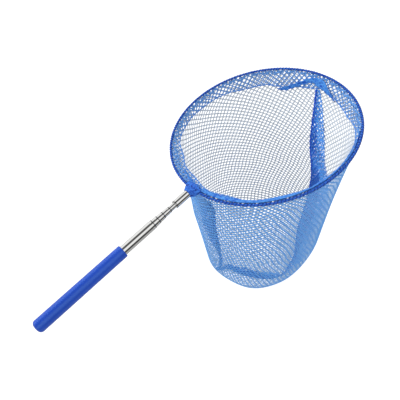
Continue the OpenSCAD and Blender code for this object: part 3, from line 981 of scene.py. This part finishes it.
# %% The strip beside it
def beside_seam(share, line, offset, inset):
    """Points at an offset from the seam: round the wall above, and straight across at the bottom."""
    wide = np.maximum(bag_reach(share)[1] * bag_bottom(share), SEAM_NARROW)
    across = line - np.sign(np.cos(line)) * offset / wide
    on_wall = bag_place(share, across, inset)
    flat = bag_place(share, line, inset)
    flat[..., 1] -= offset
    on = np.clip((bag_bottom(share) - STRAIGHT_TO) / STRAIGHT_FADE, 0, 1)[..., None]
    out = bag_normal(share, line) * (1 - on) + bag_normal(share, across) * on
    return flat * (1 - on) + on_wall * on, unit(out)


def add_seam():
    """The strip of seam allowance, in layers that differ in turn, as folded netting does."""
    share, angle, width, _, distance = seam_line()
    span = np.abs(width)
    box = (0.0, distance[-1], 0.0, SEAM_ROOM)
    parts, area, wide = [], 0.0, 0.0
    for inset, turn, reach, tone in SEAM_LAYERS:
        def hang(u, v, inset=inset):
            s, line = np.interp(u, distance, share), np.interp(u, distance, angle)
            side = np.clip(np.interp(u, distance, width) / SEAM_PINCH, -1, 1)
            ripple = SEAM_RIPPLE * np.sin(u / (9 * MM) + inset * 2) * np.clip(v / (8 * MM), 0, 1)
            return beside_seam(s, line, side * (v - SEAM_LIP), inset * MM + ripple)

        def inside(u, v, reach=reach):
            return (u >= 0) & (u <= distance[-1]) & (v >= 0) & (v <= reach * np.interp(u, distance, span))

        runs = cut_runs(*zigzags(box, radians(turn)), inside)
        part = strand_mesh(runs, hang, box, wide=SEAM_STRAND)
        on_near = part["points"][:, 0] < HOOP_X - BAG_LEAN - NEAR_FROM
        part["facing"] = np.where(on_near, min(tone, NEAR_TONE), tone)
        parts.append(part)
        area += reach * area_under(span, distance)
        wide += reach * float(span.max())
    seam = add_mesh("seam_strip", merged(parts), SEAM_NYLON)
    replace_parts(seam, "seam_allowance")


add_seam()

# %% [markdown]
# ## The hem
#
# The hem is netting rolled tight round the wire, overcast with one thread that climbs round and
# round it. A tube with a slightly uneven radius gives the roll, and a helix gives the thread.


# %% Swept tubes
def sweep(path, radius, sides, closed=False, up=(0, 0, 1)):
    """A tube along a path; radius is one number or a row of numbers for each point."""
    path = np.asarray(path, dtype=float)
    if closed:
        along = unit(np.roll(path, -1, axis=0) - np.roll(path, 1, axis=0))
    else:
        along = unit(np.gradient(path, axis=0))
    side = unit(np.cross(along, np.broadcast_to(np.array(up, dtype=float), along.shape)))
    over = np.cross(side, along)
    around = around_ring(sides)
    if np.ndim(radius) < 2:
        radius = np.broadcast_to(np.asarray(radius, dtype=float).reshape(-1, 1), (len(path), 1))
    ring = path[:, None] + side[:, None] * (radius * np.cos(around))[..., None]
    ring = ring + over[:, None] * (radius * np.sin(around))[..., None]
    count = len(path)
    faces = ring_faces(count, sides, closed)
    if not closed and sides % 2 == 0:
        caps = []
        for base, flip in ((0, False), ((count - 1) * sides, True)):
            for i in range(sides // 2 - 1):
                quad = [base + i, base + i + 1, base + sides - 2 - i, base + sides - 1 - i]
                caps.append(quad if not flip else quad[::-1])
        faces = np.concatenate([faces, np.array(caps)])
    return {"points": ring.reshape(-1, 3), "faces": faces}


def coil_round(path, side, over, reach, turns, thick):
    """A thread wound round a path: side and over are the two directions across it."""
    phase = np.linspace(0, turns * 2 * pi, len(path))[:, None]
    coil = path + reach[0] * side * np.cos(phase) + reach[1] * over * np.sin(phase)
    return sweep(coil, thick, sides=6, up=(0.3, 0.2, 0.9))


print("faces of a square rod:", len(sweep([[0, 0, 0], [1, 0, 0]], 0.1, sides=4)["faces"]))


# %% The seam's stitched edge
EDGE_THICK = 0.7 * MM
EDGE_PITCH = 3.2 * MM
EDGE_SIDES = 10
EDGE_SKIP = 4
# In mm, how far inside the wall the cord lies, and how much more on the far side and less on the near
EDGE_INSET = 2.1
EDGE_STAND = 0.9
SEAM_THREAD_R = 0.2 * MM
THREAD_OFF = 0.15 * MM
COIL_STEPS = 12


def add_seam_edge():
    """A flat cord of rolled cloth on the seam's line, overcast with a thread."""
    share, angle, _, half, distance = seam_line()
    turns = int(distance[-1] / EDGE_PITCH)
    along = np.linspace(0, distance[-1], turns * COIL_STEPS)
    s, line = np.interp(along, distance, share), np.interp(along, distance, angle)
    inset = (EDGE_INSET + EDGE_STAND * np.clip(2 * np.cos(line), -1, 1)) * MM
    path = bag_place(s, line, inset)
    out = bag_normal(s, line)
    half = np.interp(along, distance, half)[:, None]
    around = around_ring(EDGE_SIDES)
    oval = half * EDGE_THICK / np.hypot(EDGE_THICK * np.cos(around), half * np.sin(around))
    cord = sweep(path[::EDGE_SKIP], oval[::EDGE_SKIP], sides=EDGE_SIDES, up=out[::EDGE_SKIP])
    add_mesh("seam_edge", cord, SEAM_EDGE)
    run = unit(np.gradient(path, axis=0))
    side = unit(np.cross(run, out))
    reach = (half + THREAD_OFF, EDGE_THICK + THREAD_OFF)
    coil = coil_round(path, side, out, reach, turns, SEAM_THREAD_R)
    add_mesh("seam_thread", coil, THREAD)


add_seam_edge()


# %% Rolled hem and its thread
NECK_ANGLE = radians(3.4)
HEM_STEPS = 900
HEM_SIDES = 12
STITCH_PITCH = 3.6 * MM
RIM_THREAD_R = 0.30 * MM
# The roll's radius, and how far puckers and lumps change it, as shares of the casing's
HEM_TIGHT = 0.80
HEM_UNEVEN = 0.05


def rim_path(steps):
    """Points along the hoop, from one side of the neck round to the other."""
    turn = np.linspace(pi + NECK_ANGLE, 3 * pi - NECK_ANGLE, steps)
    return turn, np.stack([HOOP_X + HOOP_R * np.cos(turn), HOOP_R * np.sin(turn), 0 * turn], axis=1)


def add_hem():
    """The roll of netting round the wire."""
    turn, path = rim_path(HEM_STEPS)
    around = around_ring(HEM_SIDES)
    puckers = HEM_UNEVEN * np.sin(turn * HOOP_R / STITCH_PITCH * 2 * pi)[:, None]
    lumps = HEM_UNEVEN * np.sin(37 * turn + 1)[:, None] * np.cos(around * 2 + 5 * turn[:, None])
    radius = CASING_R * (HEM_TIGHT + puckers + lumps)
    hem = add_mesh("rim_hem", sweep(path, radius, sides=HEM_SIDES), HEM_NYLON)
    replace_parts(hem, "rim_casing")


def add_rim_thread():
    """The overcasting thread, one turn for each stitch."""
    turns = int(2 * pi * HOOP_R / STITCH_PITCH)
    turn, path = rim_path(turns * COIL_STEPS)
    outwards = np.stack([np.cos(turn), np.sin(turn), 0 * turn], axis=1)
    reach = CASING_R * HEM_TIGHT
    coil = coil_round(path, outwards, np.array([0, 0, 1.0]), (reach, reach), turns, RIM_THREAD_R)
    add_mesh("rim_thread", coil, THREAD)


add_hem()
add_rim_thread()

# %% [markdown]
# ## Rolled edges of the collar
#
# A thin cord runs along the end of the fold and gives the collar its outline. Over the near side
# the folded edge is rolled once more and stands as a solid, lighter band, and over the top of the
# far seam it is rolled into a small arch. Both are ribbons with a soft round edge, laid on the
# collar's own form and lifted most next to the wire, where the roll is thickest.

# %% Bands
# Where the near band and the arch start and end below the wire, in mm, by the angle in degrees
NEAR_BAND = (
    (160, 7.5, 8.2), (170, 4.0, 7.5), (178, 0.2, 6.6), (187, 0.2, 7.6), (197, 0.2, 7.4), (205, 0.2, 7.4),
    (222, 0.2, 7.3), (237, 0.2, 7.4), (250, 0.2, 5.8), (264, 0.2, 4.2), (280, 0.2, 2.6), (300, 0.2, 0.6),
)
ARCH = (
    (-18, 15.5, 17.5), (-13, 11.5, 16), (-9, 7, 15), (-5, 2.5, 13.5), (0, 1.8, 12), (4, 2.6, 9),
    (8, 5.2, 11), (12, 8.6, 14), (18, 13, 19), (25, 17.5, 23), (31, 19.5, 21.5),
)
# A ribbon's points along and across, and in mm its lift, half its thickness and its rise at the wire
RIBBON_STEPS = 360
RIBBON_ROWS = 11
RIBBON_LIFT = 1.15
RIBBON_HALF = 0.62
RIBBON_RISE = 1.7
# The cord's radius and how far that changes, in mm, and how high the cord lies
CORD_R = 0.62
CORD_UNEVEN = 0.16
CORD_LIFT = 0.2 * MM


def add_ribbon(name, edges, waves):
    """A soft ribbon on the collar's form between two depths."""
    degrees, start, end = (np.array(column) for column in zip(*edges))
    turn = np.radians(np.linspace(degrees[0], degrees[-1], RIBBON_STEPS))
    start, end = (eased(np.interp(np.degrees(turn), degrees, row), 9)[:, None] for row in (start, end))
    fuzz = 0.25 * np.sin(waves * turn)[:, None] + 0.18 * np.sin(2.7 * waves * turn + 1)[:, None]
    rows = np.linspace(0, 1, RIBBON_ROWS)
    loop = np.concatenate([rows, rows[-2:0:-1]])
    top = np.concatenate([np.ones(RIBBON_ROWS), -np.ones(RIBBON_ROWS - 2)])
    round_off = np.sqrt(np.clip(1 - (2 * loop - 1) ** 4, 0, 1))
    deep = (start + (end + fuzz - start) * loop) * MM
    wrinkle = 0.12 * np.sin(31 * turn[:, None] + 9 * loop) + 0.10 * np.sin(57 * turn[:, None] - 14 * loop)
    lift = (RIBBON_LIFT + (RIBBON_HALF + wrinkle) * top * round_off + RIBBON_RISE * (1 - loop) ** 2) * MM
    points = collar_place(turn[:, None] * np.ones_like(deep), deep, lift)
    faces = ring_faces(*deep.shape, inside_out=True)
    add_mesh(name, {"points": points.reshape(-1, 3), "faces": faces}, BAND_NYLON)


def add_collar_edge():
    """The rolled end of the folded edge: a thin cord that gives the collar its outline."""
    turn = np.linspace(-pi, pi, MOUTH_STEPS + 1)[:-1]
    path = collar_place(turn, collar_depth(turn), CORD_LIFT)
    thick = (CORD_R + CORD_UNEVEN * np.sin(97 * turn)) * MM
    add_mesh("collar_edge", sweep(path, thick, sides=6, closed=True), COLLAR_CORD)


add_collar_edge()
add_ribbon("hem_band", NEAR_BAND, 47)
add_ribbon("seam_arch", ARCH, 80)

# %% [markdown]
# ## The neck
#
# Where the hoop's tails leave the ferrule the netting is bunched and bound. The bunch is a
# puckered barrel on the ferrule's end with a roll of netting along each bend of the wire.

# %% Neck
NECK_BEND_R = 5 * MM
NECK_BEND_STEPS = 22
NECK_TIGHT = 0.97
TAIL_Y = WIRE_R + 0.05 * MM


def neck_path(side):
    """Points from the ferrule's end along one bend of the wire and onto the hoop."""
    middle_y = TAIL_Y + NECK_BEND_R
    reach = HOOP_R + NECK_BEND_R
    open_angle = np.arcsin(middle_y / reach)
    middle_x = HOOP_X - reach * np.cos(open_angle)
    bend = np.linspace(-pi / 2, -open_angle, NECK_BEND_STEPS)
    arc_x = middle_x + NECK_BEND_R * np.cos(bend)
    arc_y = middle_y + NECK_BEND_R * np.sin(bend)
    start = np.array([[FERRULE_END, TAIL_Y]])
    line = np.vstack([start, np.stack([arc_x, arc_y], axis=1)])
    return np.stack([line[:, 0], side * line[:, 1], 0 * line[:, 0]], axis=1)


# Along the bunch: distance past the ferrule's end, half width and half height, in mm
BUNCH = (
    (-1.4, 4.5, 4.4), (-1.1, 5.4, 5.0), (0.5, 6.4, 5.4), (2.5, 7.6, 5.0), (4.5, 9.0, 4.2),
    (6.6, 10.4, 3.4), (8.6, 11.2, 3.0), (10.6, 9.6, 2.4), (12.0, 4.0, 1.0),
)
BUNCH_RINGS = 41
BUNCH_SIDES = 48


def add_neck():
    """The bunched netting at the neck: round on the ferrule, flat and wide where it meets the hoop."""
    rows = np.arange(len(BUNCH))
    even = np.linspace(0, len(BUNCH) - 1, BUNCH_RINGS)
    place, wide, high = (eased(np.interp(even, rows, column), 1) for column in zip(*BUNCH))
    around = around_ring(BUNCH_SIDES)
    share = np.linspace(0, 1, BUNCH_RINGS)[:, None]
    pleats = 0.06 * np.sin(9 * around + 4 * share) + 0.05 * np.sin(17 * around - 7 * share)
    pleats = (1 + pleats * np.clip(share * 5, 0, 1))[..., None]
    ring = np.stack([
        np.broadcast_to(FERRULE_END + place[:, None] * MM, (BUNCH_RINGS, BUNCH_SIDES)),
        wide[:, None] * np.cos(around) * MM, high[:, None] * np.sin(around) * MM,
    ], axis=-1)
    points = ring * np.concatenate([np.ones_like(pleats), pleats, pleats], axis=-1)
    faces = ring_faces(BUNCH_RINGS, BUNCH_SIDES, inside_out=True)
    parts = [{"points": points.reshape(-1, 3), "faces": faces}]
    for side in (-1, 1):
        path = neck_path(side)
        round_it = around_ring(HEM_SIDES)
        lumps = 0.08 * np.sin(1.9 * np.arange(len(path)))[:, None] * np.cos(3 * round_it)[None, :]
        parts.append(sweep(path, CASING_R * (NECK_TIGHT + lumps), sides=HEM_SIDES))
    neck = add_mesh("neck_bunch", merged(parts), BUNCH_NYLON)
    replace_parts(neck, "neck_gather")


add_neck()
